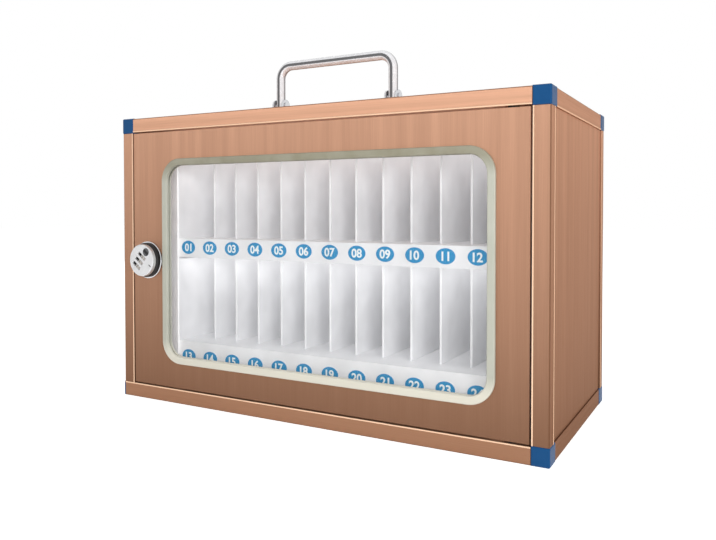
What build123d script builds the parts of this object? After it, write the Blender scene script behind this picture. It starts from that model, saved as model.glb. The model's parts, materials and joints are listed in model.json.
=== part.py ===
"""Cell phone locker box: an aluminium-framed carry box with a windowed door and 24 numbered slots.

Frame: +X to the right seen from the front, the door at -Y, +Z up.
Origin: the middle of the case's footprint, on the underside of the bottom panel. Millimetres.
"""

from build123d import *
from math import cos, radians, sin, sqrt
import os

# ---------------------------------------------------------------- case, over the corner blocks
CASE_WIDTH = 450.0
CASE_DEPTH = 213.0
CASE_HEIGHT = 290.0

# frame extrusions
RAIL_FACE = 14.5  # front and rear rails, and the posts' front faces
RAIL_DEPTH = 14.5  # front and rear rails, front to back
POST_DEPTH = 12.0  # posts, front to back
SIDE_RAIL_HEIGHT = 15.5  # rails that run front to back
RAIL_WALL = 1.5
BLOCK_PROUD = 0.4  # corner blocks and lips stand this far out of the rails' faces
LIP_WIDTH = 1.3
LIP_ROUND = 0.3
RAIL_ROUND = 1.2  # outer long edge of every extrusion

# corner blocks
BLOCK_X = 15.0
BLOCK_Y = 17.5
BLOCK_Z = 15.5
BLOCK_ROUND = 1.3
PRONG_LENGTH = 12.0
PRONG_SLACK = 0.15
END_CAP_THICKNESS = 1.5

# panels
PANEL_THICKNESS = 3.0
PANEL_RECESS = 1.2  # below the rails' faces; the bottom panel is flush instead
GROOVE_DEPTH = 5.0
PANEL_SLACK = 0.1  # each side of a panel's thickness
PANEL_EDGE_GAP = 0.2

# countersunk screws of the base
BASE_SCREW_RADIUS = 1.5
BASE_SCREW_HEAD_RADIUS = 3.0
BASE_SCREW_HEAD_HEIGHT = 1.6
BASE_SCREW_LENGTH = 8.0
BASE_SCREW_SUNK = 0.3  # head below the underside
BASE_SCREW_COUNT_LONG = 4  # along the front and along the rear rail
BASE_SCREW_COUNT_SHORT = 2  # along each side rail
BASE_SCREW_COUNT_CHEEK = 3  # along each cheek's foot
BASE_SCREW_END_MARGIN = 55.0  # from the panel's end to the first screw

# ---------------------------------------------------------------- slots
SLOT_COLUMNS = 12
DIVIDER_THICKNESS = 2.0
DIVIDER_FRONT = 23.4  # behind the fascia's front
DIVIDER_SEAT = 1.0  # how deep a divider sits in its groove
DIVIDER_SLACK = 0.1
FASCIA_FRONT = 15.0  # behind the case's front
FASCIA_THICKNESS = 2.5
TRAY_PLATE = 3.0
LOWER_TRAY_TOP = 61.0
LOWER_SKIRT = 2.5
SHELF_TOP = 166.0
SHELF_FASCIA_HEIGHT = 19.0
SHELF_REAR_LIP = 11.0
UPPER_DIVIDER_HEIGHT = 85.0
LINER_THICKNESS = 2.0
LINER_INSET = 2.5  # from the tray's rear edge to the liner's rear face

CHEEK_SHEET = 2.0
CHEEK_TOP_GAP = 3.5  # below the top rails
CHEEK_FOOT_GAP = 5.5  # foot's end to the side rail
CHEEK_FLANGE_SETBACK = 9.5  # front flange behind the fascia's front, clear of the swinging door edge
CHEEK_FLANGE_SIDE_GAP = 0.6
CHEEK_FLANGE_FLOOR_GAP = 0.5
SHELF_ANGLE_LEG = 10.0
SHELF_ANGLE_SHEET = 1.8
SHELF_ANGLE_END_GAP = 11.0
SIDE_SCREW_RADIUS = 1.5
SIDE_SCREW_HEAD_RADIUS = 2.9
SIDE_SCREW_HEAD = 1.9
SIDE_SCREW_LENGTH = 6.0
SIDE_SCREW_COUNT = 3  # in each row
SIDE_SCREW_PITCH = 60.0
TRAY_SCREW_DROP = 26.0  # below the lower tray's top
ANGLE_SCREW_DROP = 5.5  # below the angle's ledge

LABEL_WIDTH = 17.5
LABEL_HEIGHT = 13.4
LABEL_THICKNESS = 0.4
LABEL_DROP = 9.0  # label centre below the shelf's or tray's top
LOWER_LABEL_DROP = 15.0

# ---------------------------------------------------------------- door
DOOR_GAP = 1.5
DOOR_SHEET = 3.0
WINDOW_FROM_FOOT = 31.4  # clear view above the door's lower edge
WINDOW_FROM_TOP = 34.4  # and below its upper edge
WINDOW_ROUND = 16.0
LOCK_GASKET_GAP = 0.5
STILE_GASKET_GAP = 5.0
GASKET_FACE = 6.8
GASKET_PROUD = 2.5
GASKET_BACK_PROUD = 1.5
GASKET_GRIP_SHEET = 2.4
GASKET_GRIP_PANE = 1.6
GASKET_FRONT_ROUND = 1.1
GASKET_BACK_ROUND = 0.6
PANE_THICKNESS = 2.0
PANE_SETBACK = 0.5  # behind the sheet's front

STILE_WIDTH = 21.0
STILE_THICKNESS = 6.0
STILE_EDGE_INSET = 1.0
HINGE_INSET = 15.0  # pivot axis from the door's edge
PIN_RADIUS = 1.75
PIN_IN_STILE = 14.0
PIN_IN_BUSH = 5.5
BUSH_RADIUS = 3.0
BUSH_LENGTH = 6.0
BUSH_FLANGE_RADIUS = 4.5
BUSH_FLANGE = 1.0
RUNNING_CLEARANCE = 0.05

STOP_FACE = 7.5
STOP_SHEET = 1.2
STOP_CLEARANCE = 0.4
STOP_END_GAP = 14.0

# ---------------------------------------------------------------- lock, drawn in its own turned frame
LOCK_FROM_EDGE = 21.2  # from the door's left edge
LOCK_FROM_FOOT = 128.0  # above the door's lower edge
LOCK_TURNED = 38.0  # degrees clockwise seen from the front
FLANGE_RADIUS = 19.0
FLANGE_THICKNESS = 3.0
FLANGE_FLOOR = 0.6
FLANGE_ROUND = 0.8
BARREL_RADIUS = 10.0
NUT_ACROSS_FLATS = 24.0
NUT_THICKNESS = 4.5
KNOB_RADIUS = 17.6
KNOB_PROUD = 11.5
KNOB_SKIRT = 1.9  # height of the straight skirt, below the taper
KNOB_GAP = 0.4  # knob's back above the flange
FACE_PLATE = 1.6
FACE_PLATE_RADIUS = 16.2
FACE_PLATE_RIM = 4.1  # whole height of its rim
FACE_PLATE_WALL = 0.8
FACE_PLATE_ROUND = 1.2
STEM_RADIUS = 13.0
STEM_CLEARANCE = 0.3
SPINDLE_RADIUS = 4.95
DRIVE_SIZE = 6.0
DIAL_COUNT = 3
DIAL_RADIUS = 4.4
DIAL_THICKNESS = 2.6
DIAL_PITCH = 6.0
DIAL_PROUD = 0.7
DIAL_CLEARANCE = 0.35
DIAL_FLUTES = 10
DIAL_FLUTE_DEPTH = 0.3
DIAL_STACK_U = -0.2
DIAL_STACK_V = -2.1
DIAL_NOTCH = 3.0  # each window runs on past its dial
DIAL_NOTCH_DEPTH = 2.0  # into the knob body
DIAL_AXLE_RADIUS = 1.0
DIAL_AXLE_SEAT = 0.8  # each end, in the knob body
KEY_PLUG_RADIUS = 4.1
KEY_PLUG_V = 10.8
KEY_PLUG_LENGTH = 6.4
KEYWAY_WIDTH = 7.0
KEYWAY_HEIGHT = 3.0
KEYWAY_DEPTH = 4.5
POINTER_U = 12.4
POINTER_V = 3.2
POINTER_LENGTH = 3.2
POINTER_WIDTH = 1.1
POINTER_DEPTH = 0.3
CAM_THICKNESS = 2.0
CAM_WIDTH = 14.0
CAM_REACH = 31.0
CAM_POST_CLEARANCE = 0.4  # behind the post
CAM_BARREL_CLEARANCE = 0.3
CAM_SCREW_RADIUS = 1.5
CAM_SCREW_LENGTH = 8.0
CAM_SCREW_HEAD_RADIUS = 4.4
CAM_SCREW_HEAD = 2.4

# ---------------------------------------------------------------- handle
HANDLE_SPAN = 127.0  # between the legs' centres
HANDLE_BAR_RADIUS = 4.5
HANDLE_HEIGHT = 49.5  # top bar's centre above the case
HANDLE_BEND = 13.0
HANDLE_FROM_FRONT = 58.0
PIVOT_HEIGHT = 10.0  # above the case's top
PIVOT_PIN_RADIUS = 2.0
PIVOT_PIN_HEAD_RADIUS = 3.4
PIVOT_PIN_HEAD = 1.2
EAR_THICKNESS = 1.5
EAR_RADIUS = 6.2
EAR_CLEARANCE = 0.4
BRACKET_PLATE = 1.5
BRACKET_LENGTH = 38.0
BRACKET_WIDTH = 16.0
BRACKET_ROUND = 3.0
RIVET_OFFSET = 13.0
RIVET_RADIUS = 2.0
RIVET_HEAD_RADIUS = 3.3
RIVET_HEAD = 1.2
RIVET_TAIL_RADIUS = 3.0
RIVET_TAIL = 2.2

# ---------------------------------------------------------------- places worked out from the sizes
HALF_W = CASE_WIDTH / 2
HALF_D = CASE_DEPTH / 2
FACE_X = HALF_W - BLOCK_PROUD  # outer faces of the extrusions
FACE_Y = HALF_D - BLOCK_PROUD
FACE_Z = CASE_HEIGHT - BLOCK_PROUD
INNER_X = HALF_W - RAIL_FACE  # door opening
INNER_Y = HALF_D - RAIL_DEPTH
POST_BACK = HALF_D - POST_DEPTH
OPENING_LOW = RAIL_FACE
OPENING_HIGH = CASE_HEIGHT - RAIL_FACE
SIDE_RAIL_LOW = CASE_HEIGHT - SIDE_RAIL_HEIGHT
BLOCK_INNER_X = HALF_W - BLOCK_X
BLOCK_INNER_Y = HALF_D - BLOCK_Y
PANEL_OUT_X = FACE_X - PANEL_RECESS
PANEL_IN_X = PANEL_OUT_X - PANEL_THICKNESS
PANEL_OUT_Y = FACE_Y - PANEL_RECESS
PANEL_IN_Y = PANEL_OUT_Y - PANEL_THICKNESS
PANEL_OUT_Z = FACE_Z - PANEL_RECESS
PANEL_IN_Z = PANEL_OUT_Z - PANEL_THICKNESS

DOOR_FRONT = -FACE_Y
DOOR_BACK = DOOR_FRONT + DOOR_SHEET
DOOR_EDGE = INNER_X - DOOR_GAP
DOOR_LOW = OPENING_LOW + DOOR_GAP
DOOR_HIGH = OPENING_HIGH - DOOR_GAP
HINGE_X = DOOR_EDGE - HINGE_INSET
HINGE_Y = DOOR_BACK + STILE_THICKNESS / 2
STILE_EDGE = DOOR_EDGE - STILE_EDGE_INSET
LOCK_X = -DOOR_EDGE + LOCK_FROM_EDGE
LOCK_Z = DOOR_LOW + LOCK_FROM_FOOT
WINDOW_LEFT = LOCK_X + FLANGE_RADIUS + LOCK_GASKET_GAP + GASKET_FACE
WINDOW_RIGHT = STILE_EDGE - STILE_WIDTH - STILE_GASKET_GAP - GASKET_FACE
WINDOW_LOW = DOOR_LOW + WINDOW_FROM_FOOT
WINDOW_HIGH = DOOR_HIGH - WINDOW_FROM_TOP

# the row of slots is as wide as the window and centred on it
ROW_X = (WINDOW_LEFT + WINDOW_RIGHT) / 2
ROW_HALF = (WINDOW_RIGHT - WINDOW_LEFT) / 2
SLOT_PITCH = (2 * ROW_HALF + DIVIDER_THICKNESS) / SLOT_COLUMNS
FASCIA_Y = -HALF_D + FASCIA_FRONT
TRAY_REAR = -FASCIA_Y
DIVIDER_Y = FASCIA_Y + DIVIDER_FRONT
LINER_BACK = TRAY_REAR - LINER_INSET
LINER_FRONT = LINER_BACK - LINER_THICKNESS
SHELF_UNDER = SHELF_TOP - TRAY_PLATE
UPPER_DIVIDER_TOP = SHELF_TOP + UPPER_DIVIDER_HEIGHT
CHEEK_OUT = ROW_HALF + CHEEK_SHEET  # from the row's middle
SLOT_CENTRES = [ROW_X + (i - (SLOT_COLUMNS - 1) / 2) * SLOT_PITCH for i in range(SLOT_COLUMNS)]
DIVIDER_CENTRES = [x + SLOT_PITCH / 2 for x in SLOT_CENTRES[:-1]]

HANDLE_Y = -HALF_D + HANDLE_FROM_FRONT
PIVOT_Z = CASE_HEIGHT + PIVOT_HEIGHT
HANDLE_BAR_Z = CASE_HEIGHT + HANDLE_HEIGHT
LEG_CENTRES = (-HANDLE_SPAN / 2, HANDLE_SPAN / 2)

ON_FACE = 0.1  # an edge this near a face counts as lying on it
STANDING = (Align.CENTER, Align.CENTER, Align.MIN)


# ---------------------------------------------------------------- small makers
def block(x0, x1, y0, y1, z0, z1):
    """A box between two corners."""
    centre = Pos((x0 + x1) / 2, (y0 + y1) / 2, (z0 + z1) / 2)
    return centre * Box(abs(x1 - x0), abs(y1 - y0), abs(z1 - z0))


def rod(radius, start, end):
    """A round bar between two points."""
    a, b = Vector(*start), Vector(*end)
    return Plane(origin=a, z_dir=b - a) * Cylinder(radius, (b - a).length, align=STANDING)


def rounded_slab(width, height, radius, y0, y1, x=0.0, z=0.0):
    """A plate with round corners, facing front."""
    plane = Plane(origin=(x, y0, z), x_dir=(1, 0, 0), z_dir=(0, 1, 0))
    return extrude(plane * RectangleRounded(width, height, radius), amount=y1 - y0, dir=(0, 1, 0))


def round_near(piece, axis, point, radius):
    """Round the one edge along an axis that lies nearest to a point."""
    edge = piece.edges().filter_by(axis).sort_by_distance(point)[0]
    return fillet(edge, radius)


def in_place(piece, left=False, front=False):
    """Pieces are drawn at the right rear; mirror one to its own corner."""
    if left:
        piece = mirror(piece, about=Plane.YZ)
    if front:
        piece = mirror(piece, about=Plane.XZ)
    return piece


def in_row(piece, left=False):
    """Pieces at the row's right end are drawn from its middle; put one at its own end."""
    return Pos(ROW_X, 0, 0) * in_place(piece, left=left)


def evenly(count, half_span):
    """Places spread evenly from -half_span to +half_span."""
    return [half_span * (2 * i / (count - 1) - 1) for i in range(count)]


def save(name, *solids):
    """Write one node; several solids stay separate."""
    piece = solids[0] if len(solids) == 1 else Compound(children=list(solids))
    export_step(piece, f"parts/{name}.step")


# ---------------------------------------------------------------- frame
def cross_hollow(top, rear):
    """Hollow of a front or rear rail: y and z limits, in the rear half."""
    y0, y1 = INNER_Y + GROOVE_DEPTH + RAIL_WALL, FACE_Y - RAIL_WALL
    taken = GROOVE_DEPTH if rear else 0.0
    if top:
        return y0, y1, OPENING_HIGH + taken + RAIL_WALL, FACE_Z - RAIL_WALL
    return y0, y1, RAIL_WALL, OPENING_LOW - taken - RAIL_WALL


def side_hollow(top):
    """Hollow of a rail that runs front to back: x and z limits."""
    x0, x1 = INNER_X + GROOVE_DEPTH + RAIL_WALL, FACE_X - RAIL_WALL
    if top:
        return x0, x1, SIDE_RAIL_LOW + GROOVE_DEPTH + RAIL_WALL, FACE_Z - RAIL_WALL
    return x0, x1, RAIL_WALL, SIDE_RAIL_HEIGHT - GROOVE_DEPTH - RAIL_WALL


def post_hollow(rear):
    """Hollow of a post: x and y limits, in the rear half."""
    y1 = PANEL_IN_Y - PANEL_SLACK - RAIL_WALL if rear else FACE_Y - RAIL_WALL
    return INNER_X + RAIL_WALL, PANEL_IN_X - PANEL_SLACK - RAIL_WALL, POST_BACK + RAIL_WALL, y1


def lip(x0, x1, y0, y1, z0, z1, axis, outward):
    """A low rounded bead along a face's inner edge; outward is the face's normal axis."""
    bead = block(x0, x1, y0, y1, z0, z1)
    edges = bead.edges().filter_by(axis).sort_by(outward)[-2:]
    return fillet(edges, LIP_ROUND)


def post(rear, z0, z1):
    """A corner post, at the right rear."""
    body = block(INNER_X, FACE_X, POST_BACK, FACE_Y, z0, z1)
    middle = (z0 + z1) / 2
    body = round_near(body, Axis.Z, (FACE_X, FACE_Y, middle), RAIL_ROUND)
    face_lip = lip(INNER_X, INNER_X + LIP_WIDTH, FACE_Y - RAIL_WALL / 2, HALF_D, z0, z1, Axis.Z, Axis.Y)
    side_lip = lip(FACE_X - RAIL_WALL / 2, HALF_W, POST_BACK, POST_BACK + LIP_WIDTH, z0, z1, Axis.Z, Axis.X)
    body = body + face_lip + side_lip
    hollow = post_hollow(rear)
    body -= block(*hollow, z0, z1)
    side_groove = (PANEL_IN_X - PANEL_SLACK, PANEL_OUT_X + PANEL_SLACK, POST_BACK, POST_BACK + GROOVE_DEPTH)
    body -= block(*side_groove, z0, z1)
    if rear:
        back_groove = (INNER_X, INNER_X + GROOVE_DEPTH, PANEL_IN_Y - PANEL_SLACK, PANEL_OUT_Y + PANEL_SLACK)
        body -= block(*back_groove, z0, z1)
    return body


def cross_rail(top, rear, x0, x1):
    """A front or rear rail, at the rear."""
    z0, z1 = (OPENING_HIGH, FACE_Z) if top else (0.0, OPENING_LOW)
    middle = (x0 + x1) / 2
    body = block(x0, x1, INNER_Y, FACE_Y, z0, z1)
    body = round_near(body, Axis.X, (middle, FACE_Y, z1 if top else z0), RAIL_ROUND)
    lip_z = (z0, z0 + LIP_WIDTH) if top else (z1 - LIP_WIDTH, z1)
    body += lip(x0, x1, FACE_Y - RAIL_WALL / 2, HALF_D, *lip_z, Axis.X, Axis.Y)
    if top:
        body += lip(x0, x1, INNER_Y, INNER_Y + LIP_WIDTH, FACE_Z - PANEL_RECESS, CASE_HEIGHT, Axis.X, Axis.Z)
        body -= block(x0, x1, INNER_Y, INNER_Y + GROOVE_DEPTH,
                      PANEL_IN_Z - PANEL_SLACK, PANEL_OUT_Z + PANEL_SLACK)
    else:
        body -= block(x0, x1, INNER_Y, INNER_Y + GROOVE_DEPTH, z0, PANEL_THICKNESS + PANEL_SLACK)
    if rear:
        groove_z = (z0, z0 + GROOVE_DEPTH) if top else (z1 - GROOVE_DEPTH, z1)
        body -= block(x0, x1, PANEL_IN_Y - PANEL_SLACK, PANEL_OUT_Y + PANEL_SLACK, *groove_z)
    body -= block(x0, x1, *cross_hollow(top, rear))
    return body


def side_rail(top, y0, y1):
    """A rail that runs front to back, at the right; only the top one has lips."""
    z0, z1 = (SIDE_RAIL_LOW, FACE_Z) if top else (0.0, SIDE_RAIL_HEIGHT)
    middle = (y0 + y1) / 2
    body = block(INNER_X, FACE_X, y0, y1, z0, z1)
    body = round_near(body, Axis.Y, (FACE_X, middle, z1 if top else z0), RAIL_ROUND)
    if top:
        body += lip(FACE_X - RAIL_WALL / 2, HALF_W, y0, y1, z0, z0 + LIP_WIDTH, Axis.Y, Axis.X)
        body += lip(INNER_X, INNER_X + LIP_WIDTH, y0, y1, FACE_Z - PANEL_RECESS, CASE_HEIGHT, Axis.Y, Axis.Z)
        body -= block(INNER_X, INNER_X + GROOVE_DEPTH, y0, y1,
                      PANEL_IN_Z - PANEL_SLACK, PANEL_OUT_Z + PANEL_SLACK)
    else:
        body -= block(INNER_X, INNER_X + GROOVE_DEPTH, y0, y1, z0, PANEL_THICKNESS + PANEL_SLACK)
    groove_z = (z0, z0 + GROOVE_DEPTH) if top else (z1 - GROOVE_DEPTH, z1)
    body -= block(PANEL_IN_X - PANEL_SLACK, PANEL_OUT_X + PANEL_SLACK, y0, y1, *groove_z)
    x_lo, x_hi, z_lo, z_hi = side_hollow(top)
    body -= block(x_lo, x_hi, y0, y1, z_lo, z_hi)
    return body


def shrunk(lo, hi):
    """A hollow's limits, less the prong's slack."""
    return lo + PRONG_SLACK, hi - PRONG_SLACK


def corner_block(top, rear):
    """A moulded corner with three prongs, at the right rear."""
    z0, z1 = (CASE_HEIGHT - BLOCK_Z, CASE_HEIGHT) if top else (0.0, BLOCK_Z)
    cube = block(BLOCK_INNER_X, HALF_W, BLOCK_INNER_Y, HALF_D, z0, z1)
    outer = cube.edges().filter_by(
        lambda e: e.center().X > HALF_W - ON_FACE or e.center().Y > HALF_D - ON_FACE)
    cube = fillet(outer, BLOCK_ROUND)
    y_lo, y_hi, z_lo, z_hi = cross_hollow(top, rear)
    x_prong = block(BLOCK_INNER_X - PRONG_LENGTH, BLOCK_INNER_X, *shrunk(y_lo, y_hi), *shrunk(z_lo, z_hi))
    x_lo, x_hi, z_lo, z_hi = side_hollow(top)
    y_prong = block(*shrunk(x_lo, x_hi), BLOCK_INNER_Y - PRONG_LENGTH, BLOCK_INNER_Y, *shrunk(z_lo, z_hi))
    x_lo, x_hi, y_lo, y_hi = post_hollow(rear)
    prong_z = (z0 - PRONG_LENGTH, z0) if top else (z1, z1 + PRONG_LENGTH)
    z_prong = block(*shrunk(x_lo, x_hi), *shrunk(y_lo, y_hi), *prong_z)
    return cube + x_prong + y_prong + z_prong


def through_rail_prongs():
    """The two prongs of the front left end plug: up into the post, back into the side rail."""
    x_lo, x_hi, _, _ = post_hollow(False)
    y_lo, y_hi, z_lo, z_hi = cross_hollow(False, False)
    up = (*shrunk(x_lo, x_hi), *shrunk(y_lo, y_hi), z_hi - 2 * RAIL_WALL, OPENING_LOW + PRONG_LENGTH)
    x_lo, x_hi, _, side_hi = side_hollow(False)
    back = (*shrunk(x_lo, x_hi), INNER_Y - PRONG_LENGTH, y_lo + 2 * RAIL_WALL,
            PANEL_THICKNESS + RAIL_WALL, side_hi - PRONG_SLACK)
    return up, back


def end_plug():
    """The hidden connector at the through-running rail's end, drawn at the right rear."""
    y_lo, y_hi, z_lo, z_hi = cross_hollow(False, False)
    cap = block(HALF_W - END_CAP_THICKNESS, HALF_W, INNER_Y, FACE_Y, 0.0, OPENING_LOW)
    cap = round_near(cap, Axis.X, (HALF_W, FACE_Y, 0.0), RAIL_ROUND)
    tongue = block(BLOCK_INNER_X, HALF_W - END_CAP_THICKNESS, *shrunk(y_lo, y_hi), *shrunk(z_lo, z_hi))
    up, back = through_rail_prongs()
    return cap + tongue + block(*up) + block(*back)


def through_rail():
    """The front bottom rail, which runs to the left end of the case."""
    rail = cross_rail(False, False, -BLOCK_INNER_X, HALF_W - END_CAP_THICKNESS)
    (ux0, ux1, uy0, uy1, _, _), (bx0, bx1, _, _, bz0, bz1) = through_rail_prongs()
    s = PRONG_SLACK
    rail -= block(ux0 - s, ux1 + s, uy0 - s, uy1 + s, OPENING_LOW - 2 * RAIL_WALL, OPENING_LOW)
    rail -= block(bx0 - s, bx1 + s, INNER_Y, INNER_Y + GROOVE_DEPTH + 2 * RAIL_WALL, bz0 - s, bz1 + s)
    return in_place(rail, left=True, front=True)


def bush_hole(top):
    """Room for a hinge bush in the front rail."""
    z0 = OPENING_HIGH if top else OPENING_LOW - BUSH_LENGTH
    return rod(BUSH_RADIUS, (HINGE_X, HINGE_Y, z0), (HINGE_X, HINGE_Y, z0 + BUSH_LENGTH))


def make_frame():
    left_end, right_end = -BLOCK_INNER_X, BLOCK_INNER_X
    low, high = BLOCK_Z, CASE_HEIGHT - BLOCK_Z
    front_top = in_place(cross_rail(True, False, left_end, right_end), front=True)
    save("front_top_rail", front_top - bush_hole(True))
    save("front_bottom_rail", (through_rail() - bush_hole(False)) - base_screw_holes())
    save("rear_top_rail", cross_rail(True, True, left_end, right_end))
    save("rear_bottom_rail", cross_rail(False, True, left_end, right_end) - base_screw_holes())
    for top, word in ((True, "top"), (False, "bottom")):
        for left, side in ((True, "left"), (False, "right")):
            starts_behind_rail = left and not top
            front_end = INNER_Y if starts_behind_rail else BLOCK_INNER_Y
            rail = in_place(side_rail(top, -front_end, BLOCK_INNER_Y), left=left)
            save(f"{side}_{word}_rail", rail if top else rail - base_screw_holes())
            save(f"corner_rear_{side}_{word}", in_place(corner_block(top, True), left=left))
            if not starts_behind_rail:
                corner = in_place(corner_block(top, False), left=left, front=True)
                save(f"corner_front_{side}_{word}", corner)
    save("corner_front_left_bottom", in_place(end_plug(), left=True, front=True))
    save("front_left_post", in_place(post(False, OPENING_LOW, high), left=True, front=True))
    save("front_right_post", in_place(post(False, low, high), front=True))
    save("rear_left_post", in_place(post(True, low, high), left=True))
    save("rear_right_post", post(True, low, high))


# ---------------------------------------------------------------- panels
def side_reach(left, limit):
    """From the row's middle to a place beside the case's left or right side."""
    return limit + ROW_X if left else limit - ROW_X


def foot_reach(left):
    """From the row's middle to the end of a cheek's foot."""
    return side_reach(left, INNER_X - CHEEK_FOOT_GAP)


def base_screw_places():
    """Every screw that enters the base from below: x and y."""
    seat = GROOVE_DEPTH / 2
    along_x = evenly(BASE_SCREW_COUNT_LONG, BLOCK_INNER_X - BASE_SCREW_END_MARGIN)
    along_y = evenly(BASE_SCREW_COUNT_SHORT, BLOCK_INNER_Y - BASE_SCREW_END_MARGIN)
    foot_y = evenly(BASE_SCREW_COUNT_CHEEK, BLOCK_INNER_Y - BASE_SCREW_END_MARGIN / 2)
    feet = [ROW_X + side * (CHEEK_OUT + foot_reach(side < 0)) / 2 for side in (-1, 1)]
    places = [(x, side * (INNER_Y + seat)) for side in (-1, 1) for x in along_x]
    places += [(side * (INNER_X + seat), y) for side in (-1, 1) for y in along_y]
    places += [(x, y) for x in feet for y in foot_y]
    return places


def base_screw(x, y):
    """A countersunk screw, head down."""
    head = Pos(x, y, BASE_SCREW_SUNK) * Cone(
        BASE_SCREW_HEAD_RADIUS, BASE_SCREW_RADIUS, BASE_SCREW_HEAD_HEIGHT, align=STANDING)
    shank = rod(BASE_SCREW_RADIUS, (x, y, BASE_SCREW_SUNK), (x, y, BASE_SCREW_SUNK + BASE_SCREW_LENGTH))
    return head + shank


def base_screw_holes():
    """All of the base screws' holes, open to below."""
    holes = []
    for x, y in base_screw_places():
        mouth = rod(BASE_SCREW_HEAD_RADIUS, (x, y, 0.0), (x, y, BASE_SCREW_SUNK))
        holes.append(base_screw(x, y) + mouth)
    return holes


def crossed(first, second):
    """A panel with its four corners notched for the corner blocks."""
    return block(*first) + block(*second)


def make_panels():
    gap = PANEL_EDGE_GAP
    block_x, block_y = BLOCK_INNER_X - gap, BLOCK_INNER_Y - gap
    groove_x, groove_y = INNER_X + GROOVE_DEPTH - gap, INNER_Y + GROOVE_DEPTH - gap
    z_low, z_high = BLOCK_Z + gap, CASE_HEIGHT - BLOCK_Z - gap

    def level(z0, z1):
        return crossed((-block_x, block_x, -groove_y, groove_y, z0, z1),
                       (-groove_x, groove_x, -block_y, block_y, z0, z1))

    rivet_holes = [rod(RIVET_RADIUS, (x, HANDLE_Y, PANEL_IN_Z), (x, HANDLE_Y, PANEL_OUT_Z))
                   for x in rivet_xs()]
    save("top_panel", level(PANEL_IN_Z, PANEL_OUT_Z) - rivet_holes)
    save("bottom_panel", level(0.0, PANEL_THICKNESS) - base_screw_holes())

    post_y = POST_BACK + GROOVE_DEPTH - gap
    rail_low, rail_high = SIDE_RAIL_HEIGHT - GROOVE_DEPTH + gap, SIDE_RAIL_LOW + GROOVE_DEPTH - gap
    side = crossed((PANEL_IN_X, PANEL_OUT_X, -post_y, post_y, z_low, z_high),
                   (PANEL_IN_X, PANEL_OUT_X, -block_y, block_y, rail_low, rail_high))
    save("right_panel", side)
    save("left_panel", in_place(side, left=True))

    back_low, back_high = OPENING_LOW - GROOVE_DEPTH + gap, OPENING_HIGH + GROOVE_DEPTH - gap
    back = crossed((-groove_x, groove_x, PANEL_IN_Y, PANEL_OUT_Y, z_low, z_high),
                   (-block_x, block_x, PANEL_IN_Y, PANEL_OUT_Y, back_low, back_high))
    save("back_panel", back)
    save("base_screws", *[base_screw(x, y) for x, y in base_screw_places()])


# ---------------------------------------------------------------- slots
def divider_grooves(z0, z1):
    """Grooves that the dividers of one row sit in."""
    half = DIVIDER_THICKNESS / 2 + DIVIDER_SLACK
    front = DIVIDER_Y - DIVIDER_SLACK
    return [block(x - half, x + half, front, LINER_FRONT, z0, z1) for x in DIVIDER_CENTRES]


def divider_row(z0, z1):
    half = DIVIDER_THICKNESS / 2
    return [block(x - half, x + half, DIVIDER_Y, LINER_FRONT, z0, z1) for x in DIVIDER_CENTRES]


def side_screw_rows():
    """The pan head screws through a cheek: y and z."""
    rows = (LOWER_TRAY_TOP - TRAY_SCREW_DROP, SHELF_UNDER - SHELF_ANGLE_SHEET - ANGLE_SCREW_DROP)
    span = SIDE_SCREW_PITCH * (SIDE_SCREW_COUNT - 1) / 2
    return [(y, z) for z in rows for y in evenly(SIDE_SCREW_COUNT, span)]


def side_screw(y, z):
    head = rod(SIDE_SCREW_HEAD_RADIUS, (CHEEK_OUT, y, z), (CHEEK_OUT + SIDE_SCREW_HEAD, y, z))
    return head + rod(SIDE_SCREW_RADIUS, (CHEEK_OUT - SIDE_SCREW_LENGTH, y, z), (CHEEK_OUT, y, z))


def side_screw_holes(left):
    return [in_row(side_screw(y, z), left) for y, z in side_screw_rows()]


def lower_tray():
    """An upturned tray: a plate on a skirt, standing on the bottom panel."""
    tray = block(WINDOW_LEFT, WINDOW_RIGHT, FASCIA_Y, TRAY_REAR, PANEL_THICKNESS, LOWER_TRAY_TOP)
    x0, x1 = WINDOW_LEFT + LOWER_SKIRT, WINDOW_RIGHT - LOWER_SKIRT
    tray -= block(x0, x1, FASCIA_Y + FASCIA_THICKNESS, TRAY_REAR - FASCIA_THICKNESS,
                  PANEL_THICKNESS, LOWER_TRAY_TOP - TRAY_PLATE)
    tray -= divider_grooves(LOWER_TRAY_TOP - DIVIDER_SEAT, LOWER_TRAY_TOP)
    return tray - side_screw_holes(True) - side_screw_holes(False)


def upper_shelf():
    """A plate with a deep fascia in front and a shallow lip behind."""
    shelf = block(WINDOW_LEFT, WINDOW_RIGHT, FASCIA_Y, TRAY_REAR, SHELF_UNDER, SHELF_TOP)
    shelf += block(WINDOW_LEFT, WINDOW_RIGHT, FASCIA_Y, FASCIA_Y + FASCIA_THICKNESS,
                   SHELF_TOP - SHELF_FASCIA_HEIGHT, SHELF_TOP)
    shelf += block(WINDOW_LEFT, WINDOW_RIGHT, TRAY_REAR - FASCIA_THICKNESS, TRAY_REAR,
                   SHELF_TOP - SHELF_REAR_LIP, SHELF_TOP)
    shelf -= divider_grooves(SHELF_TOP - DIVIDER_SEAT, SHELF_TOP)
    return shelf - divider_grooves(SHELF_UNDER, SHELF_UNDER + DIVIDER_SEAT)


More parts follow.
